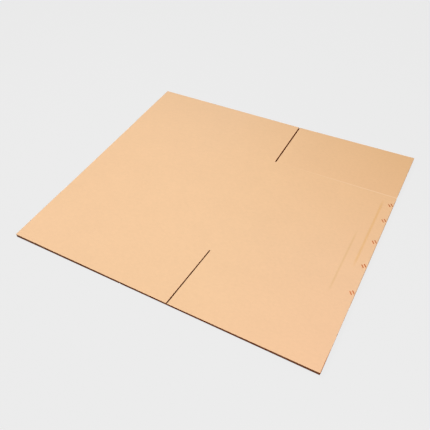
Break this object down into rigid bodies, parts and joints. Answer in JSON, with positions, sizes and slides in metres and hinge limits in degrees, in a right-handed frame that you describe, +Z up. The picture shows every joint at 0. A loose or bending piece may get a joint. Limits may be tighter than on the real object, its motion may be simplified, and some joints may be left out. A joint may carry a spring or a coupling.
{
  "type": "flattened cardboard box",
  "caption": "Slotted corrugated shipping carton knocked down flat, with a wire-stitched corner joint and upper flaps that fold back on their scores.",
  "frame": {"origin": "on the floor under the middle of the flattened carton", "axes": "+X along the flattened width towards the stitched joint, +Y along the flutes from the front mouth to the back mouth, +Z up through the layers"},
  "size_m": [0.864, 0.7314, 0.0133],
  "materials": {
    "board": "matte brown kraft facing",
    "stitching_wire": "copper-coated flat steel wire"
  },
  "bodies": {
    "carton": {"carton": "board", "stitch_1": "stitching_wire", "stitch_2": "stitching_wire", "stitch_3": "stitching_wire", "stitch_4": "stitching_wire", "stitch_5": "stitching_wire", "stitch_6": "stitching_wire", "stitch_7": "stitching_wire", "stitch_8": "stitching_wire", "stitch_9": "stitching_wire", "stitch_10": "stitching_wire"},
    "flap_front_left": {"flap_front_left": "board"},
    "flap_front_right": {"flap_front_right": "board"},
    "flap_back_left": {"flap_back_left": "board"},
    "flap_back_right": {"flap_back_right": "board"}
  },
  "joints": [
    {"name": "front_left_fold", "type": "hinge", "parent": "carton", "child": "flap_front_left", "pos_m": [0.076, -0.1855, 0.0086], "axis": [-1, 0, 0], "range_deg": [0, 170]},
    {"name": "front_right_fold", "type": "hinge", "parent": "carton", "child": "flap_front_right", "pos_m": [0.076, -0.1855, 0.0086], "axis": [-0.9999, 0, -0.0118], "range_deg": [0, 170]},
    {"name": "back_left_fold", "type": "hinge", "parent": "carton", "child": "flap_back_left", "pos_m": [0.076, 0.1855, 0.0086], "axis": [1, 0, 0], "range_deg": [0, 170]},
    {"name": "back_right_fold", "type": "hinge", "parent": "carton", "child": "flap_back_right", "pos_m": [0.076, 0.1855, 0.0086], "axis": [0.9999, 0, 0.0118], "range_deg": [0, 170]}
  ]
}
